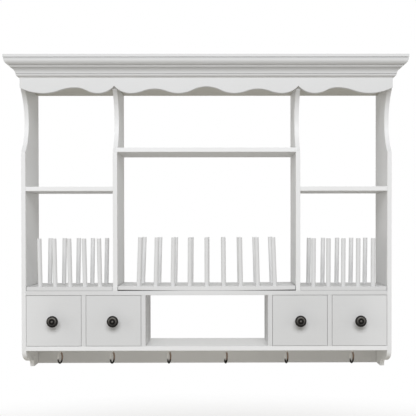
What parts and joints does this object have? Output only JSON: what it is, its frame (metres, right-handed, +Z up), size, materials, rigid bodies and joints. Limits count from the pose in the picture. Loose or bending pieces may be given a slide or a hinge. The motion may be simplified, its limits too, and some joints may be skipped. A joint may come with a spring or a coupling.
{
  "type": "kitchen wall cabinet",
  "caption": "White open kitchen wall cabinet with a moulded cornice, scalloped valance, shelves, plate racks, small drawers beside an open niche, and cup hooks below.",
  "frame": {"origin": "midway between the two wall screws, on the wall plane at the back", "axes": "+X along the width to the right seen from the front, +Y into the wall, +Z up; the front faces -Y"},
  "size_m": [1.076, 0.208, 0.851],
  "materials": {
    "white_paint": "white satin paint on fibreboard",
    "drawer_box": "thin white paint on fibreboard",
    "hardboard": "white-faced hardboard",
    "dark_bronze": "dark bronze lacquer on cast metal",
    "hook_metal": "nickel plate with a warm tone",
    "zinc_steel": "zinc plate"
  },
  "bodies": {
    "cabinet": {"left_side_panel": "white_paint", "right_side_panel": "white_paint", "left_divider": "white_paint", "right_divider": "white_paint", "top_board": "white_paint", "hanging_rail": "white_paint", "mid_board": "white_paint", "bottom_board": "white_paint", "hook_rail": "white_paint", "left_shelf": "white_paint", "right_shelf": "white_paint", "centre_shelf": "white_paint", "partition_1": "white_paint", "partition_2": "white_paint", "partition_3": "white_paint", "partition_4": "white_paint", "valance": "white_paint", "cornice_front": "white_paint", "cornice_left": "white_paint", "cornice_right": "white_paint", "left_rack_base": "white_paint", "centre_rack_base": "white_paint", "right_rack_base": "white_paint", "left_rack_dowels": "white_paint", "centre_rack_dowels": "white_paint", "right_rack_dowels": "white_paint", "cup_hooks": "hook_metal"},
    "drawer_1": {"drawer_1_front": "white_paint", "drawer_1_left_side": "drawer_box", "drawer_1_right_side": "drawer_box", "drawer_1_back": "drawer_box", "drawer_1_bottom": "hardboard", "drawer_1_knob": "dark_bronze", "drawer_1_knob_screw": "zinc_steel"},
    "drawer_2": {"drawer_2_front": "white_paint", "drawer_2_left_side": "drawer_box", "drawer_2_right_side": "drawer_box", "drawer_2_back": "drawer_box", "drawer_2_bottom": "hardboard", "drawer_2_knob": "dark_bronze", "drawer_2_knob_screw": "zinc_steel"},
    "drawer_3": {"drawer_3_front": "white_paint", "drawer_3_left_side": "drawer_box", "drawer_3_right_side": "drawer_box", "drawer_3_back": "drawer_box", "drawer_3_bottom": "hardboard", "drawer_3_knob": "dark_bronze", "drawer_3_knob_screw": "zinc_steel"},
    "drawer_4": {"drawer_4_front": "white_paint", "drawer_4_left_side": "drawer_box", "drawer_4_right_side": "drawer_box", "drawer_4_back": "drawer_box", "drawer_4_bottom": "hardboard", "drawer_4_knob": "dark_bronze", "drawer_4_knob_screw": "zinc_steel"}
  },
  "joints": [
    {"name": "drawer_1_slide", "type": "slide", "parent": "cabinet", "child": "drawer_1", "axis": [0, -1, 0], "range_m": [0, 0.11]},
    {"name": "drawer_2_slide", "type": "slide", "parent": "cabinet", "child": "drawer_2", "axis": [0, -1, 0], "range_m": [0, 0.11]},
    {"name": "drawer_3_slide", "type": "slide", "parent": "cabinet", "child": "drawer_3", "axis": [0, -1, 0], "range_m": [0, 0.11]},
    {"name": "drawer_4_slide", "type": "slide", "parent": "cabinet", "child": "drawer_4", "axis": [0, -1, 0], "range_m": [0, 0.11]}
  ]
}
